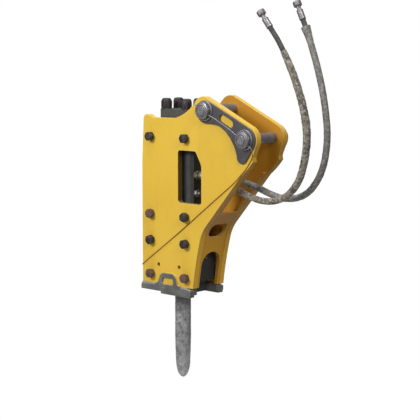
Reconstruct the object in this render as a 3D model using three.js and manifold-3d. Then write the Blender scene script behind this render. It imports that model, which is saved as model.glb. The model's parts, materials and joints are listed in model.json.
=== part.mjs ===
// Hydraulic breaker hammer of the side plate type, for a 7 to 14 tonne carrier.
// Millimetres. X runs from the front (-) to the rear (+), the near side plate faces -Y, Z is up.
// The pieces are drawn about the tool axis (X = 0) with Z = 0 at the side plates' bottom edge,
// and the finished hammer is moved so that its origin is the middle of the front mounting pin.
import * as THREE from 'three';
import { mergeVertices } from 'three/addons/utils/BufferGeometryUtils.js';
import Module from 'manifold-3d';

const wasm = await Module();
wasm.setup();

// ---- driving dimensions ----
const gap = 0.3; // between pieces that touch
const plateGap = 172; // between the side plates
const plateThick = 32;
const inner = plateGap / 2;
const outer = inner + plateThick;
const halfDepth = 184; // the side plates' front and rear edges at the bottom
const frontPin = { x: 280, z: 928 };
const rearPin = { x: 550, z: 793 };
const plateEars = [{ x: 258, z: 932, r: 66 }, { x: 550, z: 793, r: 70 }]; // the round corners over the pins
const doublerEars = [{ x: 282, z: 920, r: 58 }, { x: 550, z: 792, r: 64 }];
const pinRadius = 28;
const doublerThick = 10;
const rodColumns = [-115, 137];
const rodRows = [51, 231, 371, 779];
const rodRadius = 15;
const hexFlats = 44;
const hexHeight = 28;
const drainHole = { xs: [-65, 85], z: 102, r: 11 };
const throughBolt = { x: 73, y: 45, r: 15, bottom: 170 };
const body = { front: -98, rear: 118, half: 70 };
const lug = { front: -135, rear: 157, half: inner - gap, height: 56 };
const headBottom = -38;
const headTop = 300;
const cylinderTop = 720;
const backHeadTop = 922;
const valve = { x: 96, r: 20, bottom: 540, rear: 135 };
const tool = { r: 42.5, top: 232, tip: -517, point: 95, worn: 38.5, stroke: 45 };
const piston = { bottom: 280, length: 400, rod: 41, land: 48, tail: 39, stroke: 70 };
const toolPin = { x: 48.5, z: 115, r: 18 };
const sealBottom = 645;
const portHeight = 585;
const greaseHeight = 150;
const hoseSide = 38;
const hoseRadius = 16.5;
const wireRadius = 2;
const webBranch = 402; // above it the rear web is two rails with the hoses between them
const collarNeck = { r: 34, from: 8, to: 20, middle: 14 }; // the groove between a collar's two discs
const collarDepth = 32;

// ---- finishes ----
function finish(color, roughness, metalness) {
  return new THREE.MeshStandardMaterial({ color, roughness, metalness });
}

const yellow = finish('#dcb53e', 0.5, 0.1);
const darkPaint = finish('#45424a', 0.6, 0.3);
const greyPaint = finish('#666a69', 0.6, 0.4);
const bodyPaint = finish('#3b3f3d', 0.6, 0.3);
const blackBolt = finish('#302d33', 0.5, 0.6);
const brownBolt = finish('#5b4650', 0.6, 0.6);
const pinSteel = finish('#8f8d91', 0.4, 0.8);
const toolSteel = finish('#6f7176', 0.45, 0.8);
const groundSteel = finish('#b4b6b8', 0.25, 0.9);
const bushSteel = finish('#7d7a72', 0.4, 0.8);
const brass = finish('#8c7a4d', 0.45, 0.7);
const rubber = finish('#26262a', 0.8, 0);
const sleeveCloth = finish('#7a7265', 0.9, 0);
const wireSteel = finish('#7b5a35', 0.6, 0.5);

// ---- solids ----
function signedVolume(position, index) {
  const [a, b, c] = [new THREE.Vector3(), new THREE.Vector3(), new THREE.Vector3()];
  let sum = 0;
  for (let i = 0; i < index.length; i += 3) {
    a.fromBufferAttribute(position, index[i]);
    b.fromBufferAttribute(position, index[i + 1]);
    c.fromBufferAttribute(position, index[i + 2]);
    sum += a.dot(b.cross(c)) / 6;
  }
  return sum;
}

// A solid for joining and cutting, from a closed three.js geometry.
function solid(geometry) {
  geometry.deleteAttribute('normal');
  geometry.deleteAttribute('uv');
  const merged = mergeVertices(geometry, 1e-3);
  const index = Uint32Array.from(merged.index.array);
  if (signedVolume(merged.attributes.position, index) < 0) index.reverse();
  const vertProperties = Float32Array.from(merged.attributes.position.array);
  return new wasm.Manifold(new wasm.Mesh({ numProp: 3, vertProperties, triVerts: index }));
}

function box(x0, x1, y0, y1, z0, z1) {
  const shape = new THREE.BoxGeometry(x1 - x0, y1 - y0, z1 - z0);
  shape.translate((x0 + x1) / 2, (y0 + y1) / 2, (z0 + z1) / 2);
  return solid(shape);
}

// A round or many-sided bar with its axis along one of X, Y and Z, from one end to the other.
function bar(axis, from, to, r, centre, sides = 24) {
  const shape = new THREE.CylinderGeometry(r, r, to - from, sides);
  const middle = (from + to) / 2;
  if (axis === 'x') shape.rotateZ(-Math.PI / 2).translate(middle, centre[0], centre[1]);
  if (axis === 'y') shape.translate(centre[0], middle, centre[1]);
  if (axis === 'z') shape.rotateX(Math.PI / 2).translate(centre[0], centre[1], middle);
  return solid(shape);
}

const hexRadius = (flats) => flats / Math.sqrt(3);

function hex(axis, from, to, flats, centre) {
  return bar(axis, from, to, hexRadius(flats), centre, 6);
}

// A solid of revolution about Z; each profile point is [radius, height].
function turned(profile, segments = 32, x = 0, y = 0) {
  const points = profile.map(([r, z]) => new THREE.Vector2(r, z));
  const shape = new THREE.LatheGeometry(points, segments);
  return solid(shape.rotateX(Math.PI / 2).translate(x, y, 0));
}

// An outline drawn in X and Z, made into a plate between two Y values.
function slab(shape, y0, y1, curveSegments = 5) {
  const plate = new THREE.ExtrudeGeometry(shape, { depth: y1 - y0, bevelEnabled: false, curveSegments });
  return solid(plate.rotateX(Math.PI / 2).translate(0, y1, 0));
}

const all = (solids) => solids.reduce((sum, next) => sum.add(next));
const radians = THREE.MathUtils.degToRad;
const hammer = new THREE.Group();

function piece(name, shape, material) {
  const { vertProperties, triVerts } = shape.getMesh();
  const geometry = new THREE.BufferGeometry();
  geometry.setAttribute('position', new THREE.BufferAttribute(Float32Array.from(vertProperties), 3));
  geometry.setIndex(new THREE.BufferAttribute(Uint32Array.from(triVerts), 1));
  geometry.computeVertexNormals();
  const mesh = new THREE.Mesh(geometry, material);
  mesh.name = name;
  hammer.add(mesh);
}

const sides = [
  { name: 'near', sign: -1 },
  { name: 'far', sign: 1 },
];

// A plate between two distances from the mid-plane, on one side of the hammer.
function sideSlab(shape, sign, from, to) {
  return sign < 0 ? slab(shape, -to, -from) : slab(shape, from, to);
}

function sideBar(sign, from, to, r, centre, count = 28) {
  return sign < 0 ? bar('y', -to, -from, r, centre, count) : bar('y', from, to, r, centre, count);
}

// ---- housing ----
const lineAngle = (a, b) => Math.atan2(b.z - a.z, b.x - a.x);

// The direction at right angles to the straight edge that touches two round corners from above.
function tangent([a, b]) {
  return lineAngle(a, b) + Math.PI / 2 + Math.asin((b.r - a.r) / Math.hypot(b.x - a.x, b.z - a.z));
}

function roundedRect(path, x0, x1, z0, z1, r) {
  path.moveTo(x0 + r, z0);
  path.lineTo(x1 - r, z0);
  path.absarc(x1 - r, z0 + r, r, -Math.PI / 2, 0);
  path.lineTo(x1, z1 - r);
  path.absarc(x1 - r, z1 - r, r, 0, Math.PI / 2);
  path.lineTo(x0 + r, z1);
  path.absarc(x0 + r, z1 - r, r, Math.PI / 2, Math.PI);
  path.lineTo(x0, z0 + r);
  path.absarc(x0 + r, z0 + r, r, Math.PI, 1.5 * Math.PI);
  return path;
}

// The rear edge, from the corner under the rear pin down to the bottom.
function rearEdge(path, inset = 0) {
  path.lineTo(510 - inset, 603);
  path.lineTo(276 - inset, 336);
  path.quadraticCurveTo(246 - inset, 300, 234 - inset, 256);
  path.quadraticCurveTo(200 - inset, 128, halfDepth - inset, 0);
}

function windowPath() {
  const [left, right, bottom, top, r] = [78, 245, 443, 716, 16];
  const path = new THREE.Path();
  path.moveTo(left + r, bottom);
  path.lineTo(right - r, bottom);
  path.absarc(right - r, bottom + r, r, -Math.PI / 2, 0);
  path.lineTo(right, 632);
  path.quadraticCurveTo(right, 645, 238, 658);
  path.lineTo(210, 706);
  path.quadraticCurveTo(204, top, 192, top);
  path.lineTo(left + r, top);
  path.absarc(left + r, top - r, r, Math.PI / 2, Math.PI);
  path.lineTo(left, bottom + r);
  path.absarc(left + r, bottom + r, r, Math.PI, 1.5 * Math.PI);
  return path;
}

function sidePlateShape() {
  const over = tangent(plateEars);
  const [front, rear] = plateEars;
  const shape = new THREE.Shape();
  shape.moveTo(-halfDepth, 0);
  shape.lineTo(-halfDepth, 640);
  shape.lineTo(-172, 872);
  shape.quadraticCurveTo(-167, 893, -148, 893);
  shape.quadraticCurveTo(-134, 893, -122, 885);
  shape.quadraticCurveTo(-110, 877, -90, 877);
  shape.lineTo(58, 880);
  shape.quadraticCurveTo(140, 903, 182, 948);
  shape.absarc(front.x, front.z, front.r, radians(137), over, true);
  shape.absarc(rear.x, rear.z, rear.r, over, radians(-30), true);
  shape.lineTo(588, 706);
  shape.lineTo(592, 684);
  shape.quadraticCurveTo(562, 645, 510, 603);
  rearEdge(shape);
  shape.lineTo(-halfDepth, 0);
  shape.holes.push(windowPath());
  return shape;
}

function sidePlate({ name, sign }) {
  const holes = [frontPin, rearPin].map(({ x, z }) => (
    sideBar(sign, inner - 5, outer + 5, pinRadius + gap, [x, z])
  ));
  for (const x of drainHole.xs) {
    holes.push(sideBar(sign, inner - 5, outer + 5, drainHole.r, [x, drainHole.z], 16));
  }
  for (const x of rodColumns) {
    for (const z of rodRows) holes.push(sideBar(sign, inner - 5, outer + 5, rodRadius + 1, [x, z], 16));
  }
  const plate = sideSlab(sidePlateShape(), sign, inner, outer);
  piece(`side_plate_${name}`, plate.subtract(all(holes)), yellow);
}

// The rear web is welded between the plates' rear edges. It has a slot in the middle and a tall
// arch at the bottom, and a rail runs on up from it along each plate, with the hoses between them.
function webStrip() {
  const thick = 22;
  const foot = thick + 4;
  const strip = new THREE.Shape();
  strip.moveTo(517, 613);
  rearEdge(strip, 2);
  strip.lineTo(halfDepth - thick, 0);
  strip.quadraticCurveTo(200 - thick, 128, 234 - thick, 256);
  strip.quadraticCurveTo(246 - thick, 300, 276 - foot, 336);
  strip.lineTo(508 - foot, 603);
  strip.lineTo(517 - foot, 613);
  strip.lineTo(517, 613);
  return slab(strip, -inner + gap, inner - gap);
}

function webOpening(x0, x1, half, z0, z1, r) {
  const path = roundedRect(new THREE.Shape(), -half, half, z0, z1, r);
  const cut = new THREE.ExtrudeGeometry(path, { depth: x1 - x0, bevelEnabled: false, curveSegments: 6 });
  return solid(cut.rotateX(Math.PI / 2).rotateZ(Math.PI / 2).translate(x0, 0, 0));
}

function rearWeb() {
  const arch = webOpening(100, 300, 69, -100, 186, 66);
  const slot = webOpening(180, 330, 62, 268, 338, 30);
  const above = box(200, 700, -inner, inner, webBranch, 800);
  piece('rear_web', webStrip().subtract(arch).subtract(slot).subtract(above), yellow);
}

function rearRail({ name, sign }) {
  const rails = webStrip();
  const room = sign < 0 ? [-inner, -62] : [62, inner];
  const keep = box(200, 700, ...room, webBranch + gap, 800);
  piece(`rear_rail_${name}`, rails.intersect(keep), yellow);
}

function frontWeb() {
  const [z0, z1] = [90, 862];
  const plate = box(-178, -162, -inner + gap, inner - gap, z0, z1);
  const cuts = [
    [200, 420],
    [520, 740],
  ].map(([low, high]) => all([
    box(-190, -150, -40, 40, low + 40, high - 40),
    bar('x', -190, -150, 40, [0, low + 40]),
    bar('x', -190, -150, 40, [0, high - 40]),
  ]));
  piece('front_web', plate.subtract(all(cuts)), yellow);
}

// The dark reinforcing plate welded round both pins, with a slot between them and a lobe below.
function doubler({ name, sign }) {
  const over = tangent(doublerEars);
  const [front, rear] = doublerEars;
  const shape = new THREE.Shape();
  shape.absarc(front.x, front.z, front.r, radians(262), over, true);
  shape.absarc(rear.x, rear.z, rear.r, over, radians(-32), true);
  shape.absarc(528, 705, 33, radians(-32), radians(170), true);
  shape.bezierCurveTo(478, 780, 410, 862, 330, 862);
  shape.lineTo(front.x + front.r * Math.cos(radians(262)), front.z + front.r * Math.sin(radians(262)));
  const slot = new THREE.Path();
  const [a, b, r] = [{ x: 396, z: 893 }, { x: 452, z: 867 }, 18.5];
  const along = lineAngle(a, b);
  slot.absarc(a.x, a.z, r, along + Math.PI / 2, along + 1.5 * Math.PI);
  slot.absarc(b.x, b.z, r, along - Math.PI / 2, along + Math.PI / 2);
  shape.holes.push(slot);
  const plate = sideSlab(shape, sign, outer + gap, outer + doublerThick);
  const bores = [frontPin, rearPin].map((p) => sideBar(sign, outer, outer + 30, pinRadius + gap, [p.x, p.z]));
  piece(`pin_doubler_${name}`, plate.subtract(all(bores)), darkPaint);
}

function mountingPin(name, { x, z }) {
  const end = outer + doublerThick + collarDepth;
  const shaft = bar('y', -end, end, pinRadius, [x, z], 28);
  const tip = (sign) => sideBar(sign, end - 2, end + 3, 22, [x, z]);
  piece(name, all([shaft, tip(-1), tip(1)]), pinSteel);
}

// A stepped collar on the end of each mounting pin, standing on the doubler.
function collar(name, { x, z }, sign) {
  const from = outer + doublerThick + gap;
  const ring = all([
    sideBar(sign, from, from + collarNeck.from, 52, [x, z]),
    sideBar(sign, from + collarNeck.from - 1, from + collarNeck.to + 1, collarNeck.r, [x, z]),
    sideBar(sign, from + collarNeck.to, from + collarDepth, 43, [x, z]),
  ]);
  piece(name, ring.subtract(sideBar(sign, from - 5, from + 50, pinRadius + gap, [x, z])), pinSteel);
}

// A wear shoe under each side plate: a bar with its top edge turned down outside and at the rear,
// a thicker pad under its outer half, and a slotted tab standing up the plate's outer face.
function shoeBar(inside, face, low) {
  const section = new THREE.Shape();
  section.moveTo(inside, low);
  section.lineTo(face, low);
  section.lineTo(face, -16);
  section.lineTo(outer + 1, -gap);
  section.lineTo(inside, -gap);
  const run = new THREE.ExtrudeGeometry(section, { depth: halfDepth + 176, bevelEnabled: false });
  const whole = solid(run.rotateX(Math.PI / 2).rotateZ(Math.PI / 2).translate(-halfDepth - 2, 0, 0));
  const wedge = new THREE.Shape();
  wedge.moveTo(134, 1);
  wedge.lineTo(190, 1);
  wedge.lineTo(190, -17);
  return whole.subtract(slab(wedge, inside - 5, face + 5));
}

function shoeTab() {
  const tab = new THREE.Shape();
  tab.moveTo(-90, -25);
  tab.lineTo(-82, 2);
  tab.quadraticCurveTo(-60, 6, -54, 26);
  tab.quadraticCurveTo(-46, 61, -24, 61);
  tab.lineTo(42, 61);
  tab.quadraticCurveTo(61, 61, 68, 26);
  tab.quadraticCurveTo(73, 6, 94, 2);
  tab.lineTo(102, -25);
  tab.holes.push(roundedRect(new THREE.Path(), -32, 50, 2, 39, 15));
  return tab;
}

function wearShoe({ name, sign }) {
  const [inside, face, low, padSide] = [76, outer + 10, -38, 92];
  const pad = box(-40, 170, padSide, face, low - 12, low + 1);
  const standing = slab(shoeTab(), outer + gap, face);
  const shoe = shoeBar(inside, face, low).add(pad).add(standing);
  piece(`wear_shoe_${name}`, sign < 0 ? shoe.mirror([0, 1, 0]) : shoe, greyPaint);
}

// ---- percussion body ----
// A lug reaches out to both side plates round one row of side rods, or on from one row to another.
function lugBlock(rows) {
  const [low, high] = [rows[0] - lug.height / 2, rows.at(-1) + lug.height / 2];
  return box(lug.front, lug.rear, -lug.half, lug.half, low, high);
}

function rodHoles(rows) {
  return all(rows.flatMap((z) => rodColumns.map((x) => bar('y', -120, 120, rodRadius + 1, [x, z], 16))));
}

const boltPlaces = [-1, 1].flatMap((sx) => [-1, 1].map((sy) => [sx * throughBolt.x, sy * throughBolt.y]));

function boltHoles(from, to) {
  return all(boltPlaces.map((place) => bar('z', from, to, throughBolt.r + 1, place, 16)));
}

function block(z0, z1, front = body.front, rear = body.rear) {
  const chamfer = 14;
  const outline = new THREE.Shape();
  outline.moveTo(front + chamfer, -body.half);
  outline.lineTo(rear - chamfer, -body.half);
  outline.lineTo(rear, -body.half + chamfer);
  outline.lineTo(rear, body.half - chamfer);
  outline.lineTo(rear - chamfer, body.half);
  outline.lineTo(front + chamfer, body.half);
  outline.lineTo(front, body.half - chamfer);
  outline.lineTo(front, -body.half + chamfer);
  const shape = new THREE.ExtrudeGeometry(outline, { depth: z1 - z0, bevelEnabled: false });
  return solid(shape.translate(0, 0, z0));
}

function frontHead() {
  const rows = rodRows.slice(0, 2);
  let head = block(headBottom, headTop).add(lugBlock(rows));
  const bore = turned([
    [0, -60], [66 + gap, -60], [66 + gap, 72], [46, 72],
    [46, 165], [60 + gap, 165], [60 + gap, 320], [0, 320],
  ]);
  head = head.subtract(bore).subtract(rodHoles(rows)).subtract(boltHoles(throughBolt.bottom, 320));
  const pinHoles = [-1, 1].map((s) => bar('y', -90, 90, toolPin.r + 0.5, [s * toolPin.x, toolPin.z]));
  const greaseHole = bar('x', 40, 200, 5, [0, greaseHeight], 12);
  piece('front_head', head.subtract(all(pinHoles)).subtract(greaseHole), bodyPaint);
}

function cylinder() {
  const rows = rodRows.slice(2, 3);
  const z0 = headTop + gap;
  const chest = block(430, cylinderTop, 0, valve.rear);
  let barrel = block(z0, cylinderTop).add(chest).add(lugBlock(rows));
  const seat = sealBottom - gap;
  const bore = turned([
    [0, 280], [41.6, 280], [41.6, 400], [48.6, 400],
    [48.6, seat], [62 + gap, seat], [62 + gap, 740], [0, 740],
  ]);
  const spoolBore = bar('z', valve.bottom, 740, valve.r + gap, [valve.x, 0]);
  const capSeat = bar('z', cylinderTop - 26, 740, 27, [valve.x, 0]);
  const ports = [-1, 1].map((s) => bar('x', valve.rear - 26, 200, 13, [s * hoseSide, portHeight], 20));
  const galleries = [[-hoseSide - 5, -1], [1, hoseSide + 5]].map(([from, to]) => (
    bar('y', from, to, 7, [valve.x + 19.5, portHeight], 10)
  ));
  const reliefSeat = bar('x', valve.rear - 24, 200, 12, [-40, 490], 20);
  const cuts = all([bore, spoolBore, capSeat, reliefSeat, ...ports, ...galleries]);
  barrel = barrel.subtract(cuts).subtract(rodHoles(rows)).subtract(boltHoles(280, 740));
  piece('cylinder', barrel, bodyPaint);
}

function backHead() {
  const rows = rodRows.slice(3);
  const z0 = cylinderTop + gap;
  const head = block(z0, backHeadTop, -107, 107).add(lugBlock(rows));
  const chamber = turned([[0, 700], [44, 700], [44, 850], [30, 866], [0, 866]]);
  const gasPort = bar('x', 0, 200, 6, [0, 835], 16);
  const valveSeat = bar('x', 90, 200, 11, [0, 835], 20);
  const cuts = all([chamber, gasPort, valveSeat, rodHoles(rows), boltHoles(700, 940)]);
  piece('back_head', head.subtract(cuts), bodyPaint);
}

function throughBolts() {
  const top = backHeadTop + gap;
  boltPlaces.forEach(([x, y], i) => {
    const shaft = bar('z', throughBolt.bottom + 1, top + 40, throughBolt.r, [x, y], 16);
    piece(`through_bolt_${i + 1}`, shaft, blackBolt);
    const capProfile = [[0, top + 43], [25, top + 43], [25, top + 50], [20, top + 56], [0, top + 56]];
    const cap = turned(capProfile, 16, x, y);
    const hole = bar('z', top - 5, top + 41, throughBolt.r + gap, [x, y], 16);
    piece(`through_nut_${i + 1}`, hex('z', top, top + 44, 52, [x, y]).add(cap).subtract(hole), blackBolt);
  });
}

// Each side rod clamps both plates on a lug: a hexagon head on the near side, a nut on the far one.
function sideRods() {
  const face = outer + gap;
  rodRows.forEach((z, row) => rodColumns.forEach((x, column) => {
    const rod = all([
      bar('y', -face - 2, face + hexHeight + 6, rodRadius, [x, z], 16),
      hex('y', -face - hexHeight, -face, hexFlats, [x, z]),
      hex('y', face, face + hexHeight, hexFlats, [x, z]),
    ]);
    const rusty = row === 0 || (row === 2 && column === 0);
    piece(`side_rod_${column ? 'rear' : 'front'}_${row + 1}`, rod, rusty ? brownBolt : blackBolt);
  }));
}

// ---- moving pieces and their guides ----
// A moil point: its nose is blunted and its sides have worn a little thinner towards the nose.
function chisel() {
  const { r, tip, point, worn } = tool;
  const steps = 9;
  const profile = [[0, tip]];
  for (let i = 1; i <= steps; i++) {
    const t = i / steps;
    profile.push([worn * (1 - (1 - t) ** 1.5) ** 0.75, tip + point * t]);
  }
  profile.push([r - 1.5, tip + 150], [r, tip + 230], [r, tool.top - 12], [r - 8, tool.top], [0, tool.top]);
  const low = toolPin.z - toolPin.r - tool.stroke - 3;
  const high = toolPin.z + toolPin.r + gap;
  const flat = toolPin.x - toolPin.r - gap;
  const flats = [box(flat, 60, -60, 60, low, high), box(-60, -flat, -60, 60, low, high)];
  piece('chisel', turned(profile).subtract(all(flats)), toolSteel);
}

function toolPins() {
  [-1, 1].forEach((s, i) => {
    const pin = bar('y', -68, 68, toolPin.r, [s * toolPin.x, toolPin.z]);
    piece(`tool_pin_${i ? 'rear' : 'front'}`, pin, groundSteel);
  });
}

// A ring about the tool axis.
function ring(name, r0, r1, z0, z1, material) {
  piece(name, turned([[r0, z0], [r1, z0], [r1, z1], [r0, z1], [r0, z0]]), material);
}

function pistonPiece() {
  const { bottom: z, rod, land, tail, length } = piston;
  const top = z + length;
  const profile = [
    [0, z], [rod - 4, z], [rod, z + 4], [rod, z + 150], [land, z + 152], [land, z + 190],
    [44, z + 192], [44, z + 240], [land, z + 242], [land, z + 288], [tail, z + 290],
    [tail, top - 4], [tail - 4, top], [0, top],
  ];
  piece('piston', turned(profile), groundSteel);
}

function guides() {
  ring('dust_seal', tool.r + 0.8, 65, headBottom, headBottom + 16, rubber);
  ring('lower_bush', tool.r + 0.6, 66, headBottom + 16 + gap, 71.7, bushSteel);
  ring('upper_bush', tool.r + 0.6, 60, 165 + gap, 226, bushSteel);
  ring('seal_carrier', piston.tail + 0.5, 62, sealBottom, cylinderTop - 22, bushSteel);
  ring('gas_seal', piston.tail + 0.5, 62, cylinderTop - 22 + gap, cylinderTop - gap, rubber);
}

function valvePieces() {
  const { x, r, bottom } = valve;
  const [land, waist] = [r - 0.5, r - 7];
  const spool = turned([
    [0, bottom + 3], [land, bottom + 3], [land, bottom + 33], [waist, bottom + 35],
    [waist, bottom + 70], [land, bottom + 72], [land, bottom + 100], [waist, bottom + 102],
    [waist, bottom + 130], [0, bottom + 130],
  ], 32, x);
  piece('valve_spool', spool, groundSteel);
  const cap = all([
    bar('z', bottom + 146, cylinderTop - 20, r - 0.2, [x, 0]),
    bar('z', cylinderTop - 25.5, cylinderTop - 1, 26.5, [x, 0]),
  ]);
  piece('valve_cap', cap, bushSteel);
  const relief = all([
    bar('x', valve.rear - 22, valve.rear + 4, 11.5, [-40, 490], 20),
    hex('x', valve.rear + gap, valve.rear + 18, 36, [-40, 490]),
    bar('x', valve.rear + 17, valve.rear + 34, 11, [-40, 490], 20),
  ]);
  piece('relief_valve', relief, groundSteel);
}

function fittings() {
  sides.forEach(({ name, sign }) => {
    const at = [sign * hoseSide, portHeight];
    const adapter = all([
      bar('x', valve.rear - 24, valve.rear + 2, 12.5, at, 20),
      hex('x', valve.rear + gap, valve.rear + 22, 41, at),
      bar('x', valve.rear + 21, valve.rear + 34, 15, at, 20),
    ]);
    piece(`port_adapter_${name}`, adapter, brass);
    const start = valve.rear + 34 + gap;
    const hoseEnd = all([
      hex('x', start, start + 24, 41, at),
      bar('x', start + 23, start + 42, 13, at, 20),
      bar('x', start + 41, hoseStart, 19, at, 24),
    ]);
    piece(`hose_end_${name}`, hoseEnd, pinSteel);
  });
  const gas = all([
    bar('x', 92, 109, 10.5, [0, 835], 16),
    hex('x', 107 + gap, 121, 30, [0, 835]),
    bar('x', 120, 134, 8, [0, 835], 16),
  ]);
  piece('gas_valve', gas, brass);
  const nipple = all([
    bar('x', 100, lug.rear + 2, 4.6, [0, greaseHeight], 12),
    hex('x', lug.rear + gap, lug.rear + 8, 14, [0, greaseHeight]),
    bar('x', lug.rear + 7, lug.rear + 18, 4, [0, greaseHeight], 12),
  ]);
  piece('grease_nipple', nipple, brass);
}

// ---- hoses ----
const hoseStart = 250;
// The routes of the two hoses, from the lower hose end to the upper one, in the hammer's drawing frame.
const hoseRoutes = {
  near: [
    [hoseStart, -38, 585], [280, -38, 585], [325, -38, 574], [375, -38, 551], [430, -38, 526],
    [506, -38, 501], [585, -38, 486], [670, -38, 492], [734, -38, 517], [784, -38, 555],
    [830, -40, 617], [860, -42, 708], [874, -45, 794], [872, -48, 879], [857, -54, 963],
    [834, -60, 1040], [804, -68, 1122], [765, -78, 1208], [722, -84, 1282], [676, -89, 1344],
  ],
  far: [
    [hoseStart, 38, 585], [285, 38, 585], [340, 38, 577], [395, 38, 562], [450, 38, 548], [506, 38, 534],
    [573, 38, 514], [638, 38, 500], [703, 38, 499], [770, 38, 514], [830, 38, 549], [881, 38, 610],
    [914, 38, 682], [929, 40, 766], [930, 42, 851], [918, 44, 935], [899, 48, 1019], [876, 52, 1093],
    [850, 56, 1166], [819, 60, 1242], [784, 66, 1318], [750, 71, 1382],
  ],
};

const vectors = (points) => points.map((p) => new THREE.Vector3(...p));

function tube(points, r, sidesOfTube, steps) {
  const circle = new THREE.Shape();
  circle.absarc(0, 0, r, 0, 2 * Math.PI);
  const path = new THREE.CatmullRomCurve3(points, false, 'centripetal');
  const options = { steps, bevelEnabled: false, extrudePath: path, curveSegments: sidesOfTube / 2 };
  return solid(new THREE.ExtrudeGeometry(circle, options));
}

function hoses() {
  sides.forEach(({ name }) => {
    const route = vectors(hoseRoutes[name]);
    const last = route.at(-1);
    const along = last.clone().sub(route.at(-2)).normalize();
    const first = route[0].clone().add(new THREE.Vector3(2 * gap, 0, 0));
    piece(`hose_${name}`, tube([first, ...route.slice(1)], hoseRadius, 10, 30), sleeveCloth);
    const ferrule = upperHoseEnd();
    const turn = new THREE.Quaternion().setFromUnitVectors(new THREE.Vector3(0, 1, 0), along);
    const start = last.clone().addScaledVector(along, gap);
    ferrule.applyQuaternion(turn).translate(start.x, start.y, start.z);
    piece(`upper_hose_end_${name}`, solid(ferrule), pinSteel);
  });
}

// The upper end of a hose: ferrule, stem and swivel nut, turned about +Y from 0.
function upperHoseEnd() {
  const profile = [
    [0, 0], [17.5, 0], [17.5, 50], [13, 55], [11, 56], [11, 72], [22, 73], [22, 96], [19, 100], [0, 100],
  ];
  return new THREE.LatheGeometry(profile.map(([r, y]) => new THREE.Vector2(r, y)), 24);
}

// A thin tie wire: over the near ear, round the neck of both near collars and down to the notch
// under the rear pin. A second length runs on along the rear edge and across to the front edge.
function tieWires() {
  const face = -outer - wireRadius - 1;
  const neck = -outer - doublerThick - gap - collarNeck.middle;
  const at = (pin, degrees, r, y = neck) => {
    const angle = radians(degrees);
    return [pin.x + r * Math.cos(angle), y, pin.z + r * Math.sin(angle)];
  };
  const line = THREE.MathUtils.radToDeg(lineAngle(frontPin, rearPin));
  const round = collarNeck.r + wireRadius + 1.5;
  const wrap = (pin, to) => {
    const steps = 6;
    return Array.from({ length: steps + 1 }, (_, i) => at(pin, 165 + ((to - 165) * i) / steps, round));
  };
  const upper = vectors([
    [176, -80, 950], [180, -82, 962], [186, -92, 971], [192, -108, 973], [197, -123, 968],
    [204, -134, 957], at(frontPin, 154, 60), ...wrap(frontPin, 330 + line / 4),
    at(frontPin, line, 60), at(rearPin, line + 180, 60), ...wrap(rearPin, 312),
    at(rearPin, -38, 68, neck + 2), [600, -130, 727], [592, face, 708],
  ]);
  piece('pin_wire', tube(upper, wireRadius, 6, 84), wireSteel);
  const lower = vectors([
    [591, face, 705], [581, face, 689], [553, face, 650], [506, face, 604], [483, face, 582],
    [320, face, 460], [93, face, 290], [-120, face, 138], [-176, face, 97], [-188, face, 88],
    [-188.5, -106, 84], [-188.5, -84, 80],
  ]);
  piece('tie_wire', tube(lower, wireRadius, 6, 48), wireSteel);
}

sides.forEach(sidePlate);
rearWeb();
sides.forEach(rearRail);
frontWeb();
sides.forEach(doubler);
mountingPin('front_pin', frontPin);
mountingPin('rear_pin', rearPin);
sides.forEach(({ name, sign }) => {
  collar(`front_collar_${name}`, frontPin, sign);
  collar(`rear_collar_${name}`, rearPin, sign);
});
sides.forEach(wearShoe);
frontHead();
cylinder();
backHead();
throughBolts();
sideRods();
chisel();
toolPins();
pistonPiece();
guides();
valvePieces();
fittings();
hoses();
tieWires();

hammer.position.set(-frontPin.x, 0, -frontPin.z);
const breaker = new THREE.Group();
breaker.add(hammer);

export default breaker;
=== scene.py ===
# Hydraulic breaker hammer: the looks. Metres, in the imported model's own frame, whose origin is
# the middle of the front mounting pin. X runs to the rear, the near side plate faces -Y, Z is up.
import json
import math

import bmesh
import bpy
from mathutils import Matrix, Vector, noise


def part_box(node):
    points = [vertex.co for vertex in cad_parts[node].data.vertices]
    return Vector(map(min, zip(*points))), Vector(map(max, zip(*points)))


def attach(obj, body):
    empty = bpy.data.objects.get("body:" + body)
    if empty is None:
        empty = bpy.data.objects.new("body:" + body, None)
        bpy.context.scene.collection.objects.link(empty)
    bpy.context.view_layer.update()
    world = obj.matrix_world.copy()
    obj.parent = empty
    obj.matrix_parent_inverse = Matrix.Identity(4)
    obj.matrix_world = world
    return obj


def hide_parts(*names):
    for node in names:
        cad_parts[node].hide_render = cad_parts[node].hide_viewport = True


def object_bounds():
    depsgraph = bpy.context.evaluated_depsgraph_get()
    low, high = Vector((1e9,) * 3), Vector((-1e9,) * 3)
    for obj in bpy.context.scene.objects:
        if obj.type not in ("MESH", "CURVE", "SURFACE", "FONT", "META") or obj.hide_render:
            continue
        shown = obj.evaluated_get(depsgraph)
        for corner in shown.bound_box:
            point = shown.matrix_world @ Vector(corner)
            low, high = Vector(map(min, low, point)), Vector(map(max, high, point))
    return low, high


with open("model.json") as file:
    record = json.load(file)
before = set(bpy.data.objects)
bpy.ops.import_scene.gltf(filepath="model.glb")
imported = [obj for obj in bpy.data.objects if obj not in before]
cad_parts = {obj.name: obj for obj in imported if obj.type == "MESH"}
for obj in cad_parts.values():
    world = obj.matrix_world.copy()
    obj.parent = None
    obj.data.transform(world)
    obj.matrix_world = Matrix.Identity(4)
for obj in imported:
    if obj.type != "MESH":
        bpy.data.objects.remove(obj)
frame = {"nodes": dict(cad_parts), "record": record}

CAD_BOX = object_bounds()
NODES = frame["nodes"]
BODY_OF = {node: body for body, nodes in frame["record"]["behaviour"]["bodies"].items() for node in nodes}
SLOT_OF = {part["node"]: part["material_slot"] for part in frame["record"]["subparts"]}

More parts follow.
